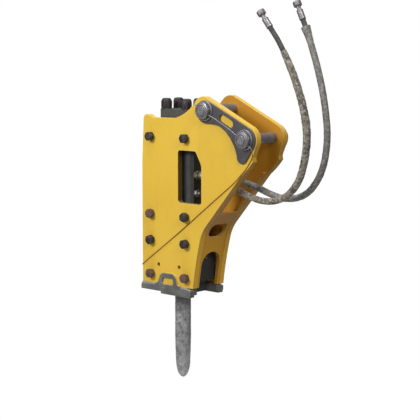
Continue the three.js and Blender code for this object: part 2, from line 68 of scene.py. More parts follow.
# The drawing that the hoses, the window and the welds were set out in has its zero on the tool
# axis, at the bottom edge of the side plates.
DRAWING = Vector((0.280, 0.0, 0.928))
NEAR, FAR, UP, REAR = Vector((0, -1, 0)), Vector((0, 1, 0)), Vector((0, 0, 1)), Vector((1, 0, 0))

# How far the side plates' inner and outer faces stand from the middle.
PLATE_INSIDE, PLATE_OUTSIDE = (end.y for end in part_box("side_plate_far"))
# The window in both side plates.
WINDOW_X = (0.078 - DRAWING.x, 0.245 - DRAWING.x)
WINDOW_Z = (0.443 - DRAWING.z, 0.716 - DRAWING.z)
# The gap that separate pieces keep where they meet face to face.
GAP = 0.0003


def middle(node):
    """The middle of a CAD node's box."""
    low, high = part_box(node)
    return (low + high) / 2


# A point on the line that the chisel slides along.
AXIS = middle("chisel")


# ---- camera, which comes first ----
def make_camera():
    """A long lens, round to the rear of the near plate and a little above it."""
    turn, tilt, distance = math.radians(44), math.radians(7.15), 7.42
    aim_height, aim_right = 0.386, 0.144
    tool = Vector((AXIS.x, 0, aim_height - DRAWING.z))
    back = Vector((math.sin(turn) * math.cos(tilt), -math.cos(turn) * math.cos(tilt), math.sin(tilt)))
    right = Vector((math.cos(turn), math.sin(turn), 0))
    aim = tool + right * aim_right
    data = bpy.data.cameras.new("camera")
    data.lens, data.sensor_width = 120, 36
    data.clip_end = 100
    camera = bpy.data.objects.new("camera", data)
    camera.rotation_mode = "QUATERNION"
    camera.location = tool + back * distance
    camera.rotation_quaternion = (aim - camera.location).to_track_quat("-Z", "Y")
    bpy.context.scene.collection.objects.link(camera)
    bpy.context.scene.camera = camera


make_camera()


# ---- node helpers for materials ----
class Finish:
    """A procedural material on Object coordinates, built up layer by layer."""

    def __init__(self, name, roughness, metallic=0.0):
        self.material = bpy.data.materials.new(name)
        self.material.use_nodes = True
        self.tree = self.material.node_tree
        self.shader = self.tree.nodes["Principled BSDF"]
        self.shader.inputs["Roughness"].default_value = roughness
        self.shader.inputs["Metallic"].default_value = metallic
        self.place = self.node("ShaderNodeTexCoord").outputs["Object"]

    def node(self, kind, **settings):
        made = self.tree.nodes.new(kind)
        for key, value in settings.items():
            setattr(made, key, value)
        return made

    def link(self, source, target):
        self.tree.links.new(source, target)

    def moved(self, scale=(1, 1, 1), turn=(0, 0, 0), shift=(0, 0, 0)):
        mapping = self.node("ShaderNodeMapping")
        mapping.inputs["Scale"].default_value = scale
        mapping.inputs["Rotation"].default_value = turn
        mapping.inputs["Location"].default_value = shift
        self.link(self.place, mapping.inputs["Vector"])
        return mapping.outputs["Vector"]

    def noise(self, scale, detail=4.0, rough=0.55, place=None, distortion=0.0):
        made = self.node("ShaderNodeTexNoise")
        made.inputs["Scale"].default_value = scale
        made.inputs["Detail"].default_value = detail
        made.inputs["Roughness"].default_value = rough
        made.inputs["Distortion"].default_value = distortion
        self.link(place or self.place, made.inputs["Vector"])
        return made.outputs["Fac"]

    def cells(self, scale, place=None):
        made = self.node("ShaderNodeTexVoronoi")
        made.inputs["Scale"].default_value = scale
        self.link(place or self.place, made.inputs["Vector"])
        return made.outputs["Distance"]

    def band(self, value, low, high, out_low=0.0, out_high=1.0):
        made = self.node("ShaderNodeMapRange")
        made.clamp = True
        sockets = ("From Min", "From Max", "To Min", "To Max")
        for socket, number in zip(sockets, (low, high, out_low, out_high)):
            made.inputs[socket].default_value = number
        self.link(value, made.inputs["Value"])
        return made.outputs["Result"]

    def math(self, operation, a, b):
        made = self.node("ShaderNodeMath", operation=operation)
        for socket, value in zip(made.inputs, (a, b)):
            if isinstance(value, (int, float)):
                socket.default_value = value
            else:
                self.link(value, socket)
        return made.outputs[0]

    def mix(self, factor, a, b, blend="MIX"):
        made = self.node("ShaderNodeMix", data_type="RGBA", blend_type=blend)
        if isinstance(factor, (int, float)):
            made.inputs["Factor"].default_value = factor
        else:
            self.link(factor, made.inputs["Factor"])
        for socket, value in ((made.inputs["A"], a), (made.inputs["B"], b)):
            if isinstance(value, tuple):
                socket.default_value = (*value, 1.0)
            else:
                self.link(value, socket)
        return made.outputs["Result"]

    def edge_mask(self, radius, low=0.02, high=0.2):
        """1 along convex and concave edges, 0 on flat faces."""
        bevel = self.node("ShaderNodeBevel", samples=6)
        bevel.inputs["Radius"].default_value = radius
        geometry = self.node("ShaderNodeNewGeometry")
        dot = self.node("ShaderNodeVectorMath", operation="DOT_PRODUCT")
        self.link(bevel.outputs["Normal"], dot.inputs[0])
        self.link(geometry.outputs["Normal"], dot.inputs[1])
        edge = self.math("SUBTRACT", 1.0, dot.outputs["Value"])
        return self.band(edge, low, high)

    def coordinate(self, axis):
        """A point's own X, Y or Z."""
        split = self.node("ShaderNodeSeparateXYZ")
        self.link(self.place, split.inputs[0])
        return split.outputs[axis]

    def height(self):
        """How high a point lies, as 0 at the side plates' foot and 1 above the front mounting pin."""
        return self.band(self.coordinate("Z"), -DRAWING.z, 0.06)

    def within(self, half):
        """1 up to a distance either side of the middle plane, and 0 beyond it."""
        start, end = 0.0003, 0.0015
        across = self.math("ABSOLUTE", self.coordinate("Y"), 0.0)
        return self.band(across, half + end, half + start)

    def window_walls(self):
        """1 on the side plates' window walls, which are painted dark as shade, and 0 elsewhere."""
        skin, start, end = 0.0035, 0.003, 0.006
        found = self.within(PLATE_OUTSIDE - skin)
        for axis, (low, high) in (("X", WINDOW_X), ("Z", WINDOW_Z)):
            half = (high - low) / 2
            away = self.math("SUBTRACT", self.coordinate(axis), (low + high) / 2)
            away = self.math("ABSOLUTE", away, 0.0)
            found = self.math("MULTIPLY", found, self.band(away, half + end, half + start))
        return found

    def facing(self, axis):
        """The part of the surface's own direction along an axis, from -1 to 1."""
        split = self.node("ShaderNodeSeparateXYZ")
        self.link(self.node("ShaderNodeNewGeometry").outputs["Normal"], split.inputs[0])
        return split.outputs[axis]

    def colour(self, source):
        self.link(source, self.shader.inputs["Base Color"])

    def roughness(self, source):
        self.link(source, self.shader.inputs["Roughness"])

    def metallic(self, source):
        self.link(source, self.shader.inputs["Metallic"])

    def bump(self, source, strength, distance=0.001):
        made = self.node("ShaderNodeBump")
        made.inputs["Strength"].default_value = strength
        made.inputs["Distance"].default_value = distance
        self.link(source, made.inputs["Height"])
        self.link(made.outputs["Normal"], self.shader.inputs["Normal"])


# ---- finishes ----
def yellow_paint():
    """Yellow, with painted shade between the plates, on faces turned to the rear or downwards and on the
    window walls, muddy low down, with painted highlights and chips at its edges.
    """
    deep, pale = (0.735, 0.475, 0.052), (0.79, 0.525, 0.064)
    cloudy, streaked = (0.66, 0.40, 0.04), (0.50, 0.29, 0.04)
    shade_between_plates, rear_face_shade, underside_shade = (0.46, 0.17, 0.012), (0.66, 0.36, 0.03), (0.22, 0.095, 0.016)
    window_wall_shade, dusty, muddy = (0.055, 0.028, 0.012), (0.50, 0.42, 0.28), (0.36, 0.26, 0.14)
    edge_highlight, primer = (0.95, 0.82, 0.44), (0.12, 0.075, 0.045)
    f = Finish("yellow_paint", 0.42)
    f.shader.inputs["Specular IOR Level"].default_value = 0.3
    broad = f.noise(2.2, 3, 0.5)
    fine = f.noise(34, 5, 0.6)
    base = f.mix(f.band(broad, 0.35, 0.65), deep, pale)
    base = f.mix(f.band(fine, 0.45, 0.8, 0, 0.2), base, cloudy)
    streaks = f.noise(7, 4, 0.6, f.moved((4, 4, 0.6)))
    base = f.mix(f.band(streaks, 0.58, 0.78, 0, 0.18), base, streaked)
    # Painted shade: between the side plates the yellow is darkened to orange-brown.
    inside = f.math("MULTIPLY", f.within(PLATE_INSIDE), 0.75)
    base = f.mix(inside, base, shade_between_plates)
    # Painted shade: faces turned to the rear are darkened towards orange.
    behind = f.band(f.facing("X"), 0.2, 0.9, 0, 0.55)
    base = f.mix(behind, base, rear_face_shade)
    # Painted shade: faces turned downwards are darkened to brown.
    base = f.mix(f.band(f.facing("Z"), -0.15, -0.6, 0, 0.7), base, underside_shade)
    # Painted shade: the window's walls are painted near black.
    base = f.mix(f.math("MULTIPLY", f.window_walls(), 0.9), base, window_wall_shade)
    dust = f.math("MULTIPLY", f.band(f.noise(6, 5, 0.65), 0.45, 0.72), f.band(f.facing("Z"), 0.1, 0.8))
    base = f.mix(f.math("MULTIPLY", dust, 0.55), base, dusty)
    mud = f.math("MULTIPLY", f.band(f.noise(16, 6, 0.7), 0.55, 0.75), f.band(f.height(), 0.16, 0.0))
    base = f.mix(f.math("MULTIPLY", mud, 0.5), base, muddy)
    edge = f.edge_mask(0.004)
    # Painted highlight: the edges are lightened to pale yellow in patches.
    light = f.math("MULTIPLY", edge, f.band(f.noise(60, 4), 0.35, 0.55))
    base = f.mix(f.math("MULTIPLY", light, 0.6), base, edge_highlight)
    chips = f.math("MULTIPLY", f.band(edge, 0.4, 0.9), f.band(f.noise(85, 5, 0.7), 0.60, 0.64))
    specks = f.band(f.noise(130, 3, 0.6), 0.735, 0.75)
    bare = f.math("MAXIMUM", chips, specks)
    base = f.mix(bare, base, primer)
    f.colour(base)
    f.roughness(f.band(f.math("ADD", fine, bare), 0.3, 1.4, 0.36, 0.8))
    orange_peel = f.math("MULTIPLY", f.noise(420, 2, 0.5), 0.25)
    f.bump(f.math("SUBTRACT", orange_peel, f.math("MULTIPLY", bare, 0.6)), 0.3, 0.0006)
    return f.material


def flat_paint(name, dark, light, bare, roughness, wear=0.5, low_shade=0.0, rubbed=0.0):
    """Flat paint with scratches and dust; it may be darkened low down as painted shade, or lightened on
    upward faces as a painted highlight.
    """
    shade_tone, dusty = (0.012, 0.012, 0.014), (0.26, 0.23, 0.18)
    f = Finish(name, roughness)
    clouds = f.band(f.noise(14, 5, 0.6), 0.35, 0.7)
    base = f.mix(clouds, dark, light)
    # Painted shade: the paint is darkened towards black low down.
    base = f.mix(f.band(f.height(), 0.45, 0.2, 0, low_shade), base, shade_tone)
    # Painted highlight: faces turned upwards are lightened towards the bare colour, by the share given as
    # rubbed.
    base = f.mix(f.band(f.facing("Z"), 0.15, 0.6, 0, rubbed), base, bare)
    scratch = f.band(f.noise(26, 3, 0.6, f.moved((1, 1, 7), (0.5, 0.9, 0))), 0.64, 0.67)
    edge = f.math("MULTIPLY", f.edge_mask(0.003), f.band(f.noise(70, 5), 0.4, 0.6))
    worn = f.math("MAXIMUM", f.math("MULTIPLY", scratch, 0.5), edge)
    worn = f.math("MULTIPLY", worn, wear)
    dust = f.math("MULTIPLY", f.band(f.noise(9, 5, 0.65), 0.42, 0.7), f.band(f.facing("Z"), 0.0, 0.8))
    base = f.mix(worn, base, bare)
    base = f.mix(f.math("MULTIPLY", dust, 0.35), base, dusty)
    f.colour(base)
    f.metallic(f.math("MULTIPLY", worn, 0.7))
    f.roughness(f.band(f.noise(40, 4), 0.3, 0.7, roughness - 0.12, roughness + 0.15))
    f.bump(f.noise(160, 4, 0.6), 0.25, 0.0008)
    return f.material


def rusty_steel(name, steel, rust, amount, roughness, metallic=0.8):
    """Steel with rust on a share of it, and edges rubbed bright."""
    f = Finish(name, roughness, metallic)
    spots = f.band(f.noise(38, 6, 0.68), 0.62 - amount * 0.4, 0.74 - amount * 0.3)
    base = f.mix(f.band(f.noise(110, 4), 0.35, 0.7), steel, tuple(c * 0.6 for c in steel))
    base = f.mix(spots, base, rust)
    edge = f.math("MULTIPLY", f.edge_mask(0.0025), 0.6)
    base = f.mix(edge, base, tuple(min(1.0, c * 1.9 + 0.05) for c in steel))
    f.colour(base)
    f.metallic(f.band(spots, 0, 1, metallic, 0.1))
    f.roughness(f.band(f.math("ADD", spots, f.noise(70, 4)), 0.3, 1.5, roughness - 0.1, 0.85))
    f.bump(f.math("ADD", f.math("MULTIPLY", spots, 0.6), f.noise(220, 4, 0.6)), 0.35, 0.0007)
    return f.material


def chisel_steel():
    """Forged steel: darker just below the hammer, long scratches and a dull rubbed point."""
    dark, light = (0.19, 0.195, 0.21), (0.52, 0.525, 0.54)
    fleck, cloud = (0.66, 0.67, 0.69), (0.56, 0.565, 0.58)
    scale, rubbed = (0.045, 0.047, 0.055), (0.30, 0.30, 0.33)
    rusty, scratched = (0.15, 0.095, 0.06), (0.55, 0.56, 0.58)
    f = Finish("tool_steel", 0.42, 0.5)
    low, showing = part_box("chisel")[0].z, 0.46
    up = f.band(f.coordinate("Z"), low, low + showing)
    mottle = f.noise(42, 7, 0.75)
    large = f.noise(9, 4, 0.6, f.moved((1, 1, 0.45)))
    base = f.mix(f.band(mottle, 0.38, 0.62), dark, light)
    flecks = f.band(f.noise(150, 4, 0.7), 0.56, 0.62, 0, 0.55)
    base = f.mix(flecks, base, fleck)
    base = f.mix(f.band(large, 0.50, 0.62, 0, 0.8), base, cloud)
    # Darker just below the hammer, at the top of the part that shows.
    dark_below_hammer = f.band(f.math("ADD", up, f.math("MULTIPLY", large, 0.5)), 0.98, 1.25, 0, 0.75)
    base = f.mix(dark_below_hammer, base, scale)
    rub = f.band(f.math("ADD", up, f.math("MULTIPLY", mottle, 0.3)), 0.28, 0.12)
    base = f.mix(f.math("MULTIPLY", rub, 0.5), base, rubbed)
    rust = f.band(f.noise(20, 6, 0.72), 0.60, 0.68, 0, 0.5)
    base = f.mix(rust, base, rusty)
    scratch = f.band(f.noise(48, 3, 0.6, f.moved((6, 6, 0.35))), 0.60, 0.66)
    base = f.mix(f.math("MULTIPLY", scratch, 0.5), base, scratched)
    f.colour(base)
    f.roughness(f.band(mottle, 0.3, 0.7, 0.32, 0.6))
    f.metallic(f.band(rust, 0, 0.5, 0.5, 0.2))
    f.bump(f.math("ADD", mottle, f.math("MULTIPLY", f.noise(140, 4), 0.4)), 0.5, 0.0014)
    return f.material


def turned_steel(name, tone, roughness=0.34):
    """Steel faced on a lathe, dulled and dusty, with fine rings about the mounting pins' direction."""
    greasy_dirt = (0.09, 0.08, 0.08)
    f = Finish(name, roughness, 0.75)
    cloud = f.noise(30, 5, 0.65)
    base = f.mix(f.band(cloud, 0.35, 0.65), tone, tuple(c * 0.6 for c in tone))
    grime = f.band(f.noise(65, 5, 0.7), 0.52, 0.66, 0, 0.7)
    base = f.mix(grime, base, greasy_dirt)
    edge = f.edge_mask(0.002)
    base = f.mix(f.math("MULTIPLY", edge, 0.7), base, tuple(min(1.0, c * 1.8) for c in tone))
    f.colour(base)
    f.metallic(f.band(grime, 0, 0.7, 0.75, 0.25))
    f.roughness(f.band(cloud, 0.3, 0.7, roughness, roughness + 0.25))
    f.bump(f.noise(190, 3, 0.5, f.moved((1, 4, 1))), 0.25, 0.0005)
    return f.material


def wire_steel():
    """Soft iron wire: still bright round the mounting pins, brown with rust further down."""
    dark_rust, light_rust, steel = (0.20, 0.08, 0.028), (0.33, 0.15, 0.05), (0.27, 0.26, 0.25)
    rusty_below, bright_above = -0.205, -0.185
    f = Finish("wire_steel", 0.5, 0.3)
    bright = f.band(f.coordinate("Z"), rusty_below, bright_above)
    rust = f.mix(f.noise(60, 4), dark_rust, light_rust)
    f.colour(f.mix(bright, rust, steel))
    f.roughness(f.band(f.noise(120, 3), 0.3, 0.7, 0.4, 0.6))
    f.bump(f.noise(300, 3), 0.3, 0.0004)
    return f.material


def rubber(name, tone):
    """Black rubber, dull with dust."""
    dusty = (0.17, 0.15, 0.125)
    f = Finish(name, 0.62)
    dust = f.band(f.noise(22, 5, 0.7), 0.45, 0.7, 0, 0.5)
    f.colour(f.mix(dust, tone, dusty))
    f.roughness(f.band(f.noise(90, 4), 0.3, 0.7, 0.5, 0.8))
    f.bump(f.noise(260, 3), 0.3, 0.0005)
    return f.material


def muddy_sleeve(name, cloth, earth, flakes, mud_share, flake_share):
    """Woven nylon sleeve, dusty, caked with dry mud in places, with pale flakes on it."""
    f = Finish(name, 0.85)
    weave_a = f.node("ShaderNodeTexWave", wave_type="BANDS", bands_direction="DIAGONAL")
    weave_b = f.node("ShaderNodeTexWave", wave_type="BANDS", bands_direction="DIAGONAL")
    for threads, turn in ((weave_a, 0.0), (weave_b, math.pi / 2)):
        threads.inputs["Scale"].default_value = 90
        threads.inputs["Distortion"].default_value = 1.0
        f.link(f.moved(turn=(0, turn, 0)), threads.inputs["Vector"])
    weave = f.math("MULTIPLY", weave_a.outputs["Fac"], weave_b.outputs["Fac"])
    woven = f.mix(weave, tuple(c * 0.6 for c in cloth), cloth)
    mud = f.band(f.noise(34, 6, 0.72, distortion=0.4), 0.40, 0.60)
    pale = f.band(f.noise(75, 6, 0.72), 0.50, 0.60)
    base = f.mix(f.math("MULTIPLY", mud, mud_share), woven, earth)
    base = f.mix(f.math("MULTIPLY", pale, flake_share), base, flakes)
    f.colour(base)
    f.roughness(f.band(mud, 0, 1, 0.72, 0.95))
    caked = f.math("ADD", mud, f.math("MULTIPLY", pale, 0.5))
    lumps = f.math("ADD", f.math("MULTIPLY", weave, 0.25), caked)
    f.bump(lumps, 0.8, 0.0016)
    return f.material


FINISHES = {
    "yellow_paint": yellow_paint(),
    "dark_paint": flat_paint(
        "dark_paint", (0.052, 0.047, 0.056), (0.085, 0.078, 0.09), (0.28, 0.27, 0.28),
        roughness=0.55, wear=0.35,
    ),
    # The grey paint's upward faces get a painted highlight.
    "grey_paint": flat_paint(
        "grey_paint", (0.085, 0.09, 0.088), (0.185, 0.19, 0.185), (0.46, 0.46, 0.45),
        roughness=0.55, wear=0.9, rubbed=0.75,
    ),
    # The body paint is darkened low down as painted shade.
    "body_paint": flat_paint(
        "body_paint", (0.042, 0.048, 0.046), (0.07, 0.078, 0.074), (0.2, 0.2, 0.19),
        roughness=0.6, wear=0.4, low_shade=0.65,
    ),
    "black_bolt": rusty_steel(
        "black_bolt", (0.055, 0.048, 0.058), (0.075, 0.045, 0.035), amount=0.25, roughness=0.5, metallic=0.6,
    ),
    "brown_bolt": rusty_steel(
        "brown_bolt", (0.12, 0.08, 0.095), (0.15, 0.08, 0.06), amount=0.6, roughness=0.55, metallic=0.5,
    ),
    "pin_steel": turned_steel("pin_steel", (0.34, 0.33, 0.35)),
    "tool_steel": chisel_steel(),
    "ground_steel": turned_steel("ground_steel", (0.36, 0.365, 0.38), roughness=0.42),
    "bush_steel": rusty_steel(
        "bush_steel", (0.22, 0.21, 0.2), (0.14, 0.09, 0.05), amount=0.3, roughness=0.4,
    ),
    "brass_fitting": rusty_steel(
        "brass_fitting", (0.33, 0.27, 0.13), (0.10, 0.085, 0.05), amount=0.45, roughness=0.42, metallic=0.7,
    ),
    "black_rubber": rubber("black_rubber", (0.022, 0.022, 0.025)),
    "hose_sleeve": muddy_sleeve(
        "hose_sleeve", (0.085, 0.08, 0.072), (0.30, 0.265, 0.205), (0.56, 0.53, 0.46),
        mud_share=0.75, flake_share=0.65,
    ),
    "wire_steel": wire_steel(),
}
HOSE_RUBBER = rubber("hose_rubber", (0.03, 0.034, 0.033))
# The far hose's sleeve has less mud on it.
CLEANER_SLEEVE = muddy_sleeve(
    "cleaner_sleeve", (0.15, 0.15, 0.147), (0.28, 0.265, 0.24), (0.52, 0.51, 0.48),
    mud_share=0.55, flake_share=0.4,
)


# ---- mesh helpers ----
def weighted_normals(bm, angle=50):
    """Each face corner's normal, as the mean of the faces about it by area, so flats stay flat."""
    alike = math.cos(math.radians(angle))
    weighed = {face: face.normal * face.calc_area() for face in bm.faces}
    normals = []
    for face in bm.faces:
        for vert in face.verts:
            faces = [other for other in vert.link_faces if other.normal.dot(face.normal) > alike]
            total = sum((weighed[other] for other in faces), Vector())
            normals.append(total.normalized() if total.length > 0 else face.normal.copy())
    return normals


def place(bm, name, body, finish, nodes=(), smooth=40, flats=False):
    """Makes a finished piece from a bmesh: it rides on a body and stands for CAD nodes."""
    bmesh.ops.recalc_face_normals(bm, faces=bm.faces)
    normals = weighted_normals(bm) if flats else None
    for face in bm.faces:
        face.smooth = True
    for edge in bm.edges:
        edge.smooth = len(edge.link_faces) == 2 and edge.calc_face_angle(0.0) < math.radians(smooth)
    mesh = bpy.data.meshes.new(name)
    bm.to_mesh(mesh)
    bm.free()
    if normals:
        mesh.normals_split_custom_set(normals)
    mesh.materials.append(finish if finish else FINISHES[SLOT_OF[nodes[0]]])
    made = bpy.data.objects.new(name, mesh)
    bpy.context.scene.collection.objects.link(made)
    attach(made, body)
    if nodes:
        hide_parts(*nodes)
    return made


def from_cad(node):
    """A merged copy of a CAD node's mesh, with its flat faces joined again."""
    bm = bmesh.new()
    bm.from_mesh(NODES[node].data)
    bmesh.ops.remove_doubles(bm, verts=bm.verts, dist=2e-5)
    bmesh.ops.dissolve_limit(bm, angle_limit=math.radians(0.6), verts=bm.verts, edges=bm.edges)
    return bm


def round_edges(bm, width, angle=32):
    """Rounds every edge that is sharper than an angle."""
    sharp = [e for e in bm.edges if len(e.link_faces) == 2 and e.calc_face_angle(0.0) > math.radians(angle)]
    bmesh.ops.bevel(
        bm, geom=sharp, offset=width, offset_type="OFFSET", segments=2, profile=0.5,
        affect="EDGES", clamp_overlap=True, material=-1, loop_slide=True,
    )


def refined(node, width):
    """The CAD node's own shape with its edges broken, as grinding and paint leave them."""
    bm = from_cad(node)
    round_edges(bm, width)
    return place(bm, f"{node}_finished", BODY_OF[node], None, [node], flats=True)


def turn_about(profile, centre, axis, steps=64):
    """A turned shape: profile points are (radius, distance along the axis)."""
    bm = bmesh.new()
    side = UP if abs(axis.z) < 0.9 else REAR
    out = (side - axis * side.dot(axis)).normalized()
    verts = [bm.verts.new(centre + out * r + axis * along) for r, along in profile]
    edges = [bm.edges.new(pair) for pair in zip(verts, verts[1:])]
    bmesh.ops.spin(
        bm, geom=verts + edges, cent=centre, axis=axis, angle=2 * math.pi, steps=steps, use_merge=True,
    )
    bmesh.ops.remove_doubles(bm, verts=bm.verts, dist=1e-6)
    return bm


def ring_profile(points):
    """The profile of a closed ring: its last point joins its first."""
    return [*points, points[0]]


def put(bm, node, smooth=40):
    """Places a piece that stands for one CAD node."""
    return place(bm, f"{node}_finished", BODY_OF[node], None, [node], smooth)


# ---- hoses, which come before the other pieces ----
HOSE_DIAMETER = 0.026
SLEEVE_RADIUS = 0.0168
UPPER_END_LENGTH = 0.0995
HOSE_ROUTES = {
    "near": [
        (0.2506, -0.038, 0.585), (0.280, -0.038, 0.585), (0.325, -0.038, 0.574), (0.375, -0.038, 0.551),
        (0.430, -0.038, 0.526), (0.506, -0.038, 0.501), (0.585, -0.038, 0.486), (0.670, -0.038, 0.492),
        (0.734, -0.038, 0.517), (0.784, -0.038, 0.555), (0.830, -0.040, 0.617), (0.860, -0.042, 0.708),
        (0.874, -0.045, 0.794), (0.872, -0.048, 0.879), (0.857, -0.054, 0.963), (0.834, -0.060, 1.040),
        (0.804, -0.068, 1.122), (0.765, -0.078, 1.208), (0.722, -0.084, 1.282), (0.676, -0.089, 1.344),
    ],
    "far": [
        (0.2506, 0.038, 0.585), (0.285, 0.038, 0.585), (0.340, 0.038, 0.577), (0.395, 0.038, 0.562),
        (0.450, 0.038, 0.548), (0.506, 0.038, 0.534), (0.573, 0.038, 0.514), (0.638, 0.038, 0.500),
        (0.703, 0.038, 0.499), (0.770, 0.038, 0.514), (0.830, 0.038, 0.549), (0.881, 0.038, 0.610),
        (0.914, 0.038, 0.682), (0.929, 0.040, 0.766), (0.930, 0.042, 0.851), (0.918, 0.044, 0.935),
        (0.899, 0.048, 1.019), (0.876, 0.052, 1.093), (0.850, 0.056, 1.166), (0.819, 0.060, 1.242),
        (0.784, 0.066, 1.318), (0.750, 0.071, 1.382),
    ],
}
# How far along each hose its sleeve reaches, as a share of the length.
SLEEVE_END = {"near": 0.905, "far": 0.972}


def smooth_line(points, spacing=0.006):
    """A centripetal Catmull-Rom curve through the points, evenly stepped."""
    points = [Vector(p) - DRAWING for p in points]
    ends = [points[0] * 2 - points[1], *points, points[-1] * 2 - points[-2]]
    line = []
    for p0, p1, p2, p3 in zip(ends, ends[1:], ends[2:], ends[3:]):
        t1 = (p1 - p0).length ** 0.5
        t2 = t1 + (p2 - p1).length ** 0.5
        t3 = t2 + (p3 - p2).length ** 0.5
        count = max(2, round((p2 - p1).length / spacing))
        for i in range(count):
            t = t1 + (t2 - t1) * i / count
            a1 = p0 * ((t1 - t) / t1) + p1 * (t / t1)
            a2 = p1 * ((t2 - t) / (t2 - t1)) + p2 * ((t - t1) / (t2 - t1))
            a3 = p2 * ((t3 - t) / (t3 - t2)) + p3 * ((t - t2) / (t3 - t2))
            b1 = a1 * ((t2 - t) / t2) + a2 * (t / t2)
            b2 = a2 * ((t3 - t) / (t3 - t1)) + a3 * ((t - t1) / (t3 - t1))
            line.append(b1 * ((t2 - t) / (t2 - t1)) + b2 * ((t - t1) / (t2 - t1)))
    line.append(points[-1])
    return line


def line_length(line):
    return sum((b - a).length for a, b in zip(line, line[1:]))


def tube_along(line, radius, sides=20):
    """A closed tube; radius is a function of the distance along the line, the angle and the place."""
    bm = bmesh.new()
    rings, along = [], 0.0
    side = FAR
    for i, point in enumerate(line):
        ahead = (line[min(i + 1, len(line) - 1)] - line[max(i - 1, 0)]).normalized()
        side = (side - ahead * side.dot(ahead)).normalized()
        up = ahead.cross(side)
        ring = []
        for k in range(sides):
            angle = 2 * math.pi * k / sides
            out = side * math.cos(angle) + up * math.sin(angle)
            ring.append(bm.verts.new(point + out * radius(along, angle, point)))
        rings.append(ring)
        if i + 1 < len(line):
            along += (line[i + 1] - point).length
    for ring, following in zip(rings, rings[1:]):
        for k in range(sides):
            after = (k + 1) % sides
            bm.faces.new((ring[k], ring[after], following[after], following[k]))
    bm.faces.new(rings[0][::-1])
    bm.faces.new(rings[-1])
    return bm


def sleeve_radius(length, side):
    """A loose sleeve: folds all along, bunched cloth on the near one, an open end on the far one."""
    bunched = {"near": 0.0028, "far": 0.0}[side]
    flare = {"near": -0.0012, "far": 0.0075}[side]
    bunch_middle, bunch_reach, end_reach, cuff_reach, cuff_squeeze = 0.70, 0.28, 0.09, 0.02, 0.001

    def radius(along, angle, point):
        share = along / length
        loose = bunched * max(0.0, 1 - abs(share - bunch_middle) / bunch_reach) ** 0.5
        folds = (0.0007 + loose * 0.5) * noise.noise(point * 55 + Vector((angle * 0.9, 0, 0)))
        lumps = (0.0005 + loose * 0.3) * noise.noise(point * 150)
        end = max(0.0, 1 - (length - along) / end_reach) ** 1.5
        cuff = max(0.0, 1 - along / cuff_reach)
        return SLEEVE_RADIUS + loose + folds + lumps + flare * end - cuff_squeeze * cuff

    return radius


def crimped_end(centre, axis, length, node):
    """A hose end: a ribbed ferrule, a stem and a hexagon swivel nut."""
    crest, valley, stem, nut_seat = 0.0168, 0.0156, 0.0108, 0.0735
    first_rib, pitch = 0.006, 0.0085
    profile = [(0.0, 0.0), (0.0160, 0.0), (crest, 0.002)]
    for rib in range(5):
        at = first_rib + rib * pitch
        profile += [(crest, at), (valley, at + 0.002), (valley, at + 0.005), (crest, at + 0.007)]
    profile += [(0.0165, 0.050), (0.0125, 0.055), (stem, 0.056), (stem, nut_seat), (0.0, nut_seat)]
    bm = turn_about(profile, centre, axis, 40)
    join(bm, hexagon(centre + axis * nut_seat, axis, flats=0.0375, height=length - nut_seat, chamfer=0.0018))
    return put(bm, node)


def hexagon(base, axis, flats, height, chamfer, turn=0.0):
    """A hexagon with both rims turned down, as on a bolt's head or a nut."""
    bm = bmesh.new()
    radius = flats / math.sqrt(3)
    bmesh.ops.create_cone(bm, cap_ends=True, segments=6, radius1=radius, radius2=radius, depth=height)
    bmesh.ops.subdivide_edges(
        bm, edges=[e for e in bm.edges if abs(e.verts[0].co.z - e.verts[1].co.z) < 1e-6], cuts=7,
    )
    upper = height / 2
    for vert in bm.verts:
        if abs(vert.co.z) > upper - 1e-6:
            reach = Vector((vert.co.x, vert.co.y)).length
            past = max(0.0, (reach - flats / 2) / (radius - flats / 2))
            vert.co.z -= math.copysign(chamfer * past ** 1.5, vert.co.z)
    sharp_angle, rounding = 0.6, 0.0009
    rims = [e for e in bm.edges if len(e.link_faces) == 2 and e.calc_face_angle(0.0) > sharp_angle]
    bmesh.ops.bevel(
        bm, geom=rims, offset=rounding, offset_type="OFFSET", segments=2, profile=0.5,
        affect="EDGES", clamp_overlap=True, material=-1,
    )
    stand = UP.rotation_difference(axis).to_matrix().to_4x4()
    spun = Matrix.Rotation(turn, 4, "Z")
    bmesh.ops.transform(bm, matrix=Matrix.Translation(base + axis * upper) @ stand @ spun, verts=bm.verts)
    return bm


def join(bm, other):
    """Adds another bmesh's geometry to this one."""
    mesh = bpy.data.meshes.new("part")
    other.to_mesh(mesh)
    other.free()
    bm.from_mesh(mesh)
    bpy.data.meshes.remove(mesh)


def lower_hose_end(node):
    """The swivel nut, stem and ribbed ferrule on the lower end of a hose."""
    low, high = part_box(node)
    at = Vector((low.x, (low.y + high.y) / 2, (low.z + high.z) / 2))
    long = high.x - low.x
    neck, stem, crest, valley, nut_end, lap = 0.0155, 0.0128, 0.0186, 0.0172, 0.0235, 0.0003
    bm = hexagon(at, REAR, flats=0.0405, height=nut_end + lap, chamfer=0.0024, turn=0.1)
    profile = [(0, nut_end), (neck, nut_end), (neck, 0.027), (stem, 0.0285), (stem, 0.0405)]
    profile += [(0.0165, 0.0418), (0.0185, 0.044)]
    ribs, first_rib = 4, 0.045
    pitch = (long - 0.048) / ribs
    for rib in range(ribs):
        along = first_rib + rib * pitch
        profile += [(crest, along), (valley, along + pitch * 0.3)]
        profile += [(valley, along + pitch * 0.7), (crest, along + pitch * 0.98)]
    profile += [(crest, long - 0.0015), (0.0174, long), (0, long)]
    join(bm, turn_about(profile, at, REAR, 48))
    return put(bm, node)


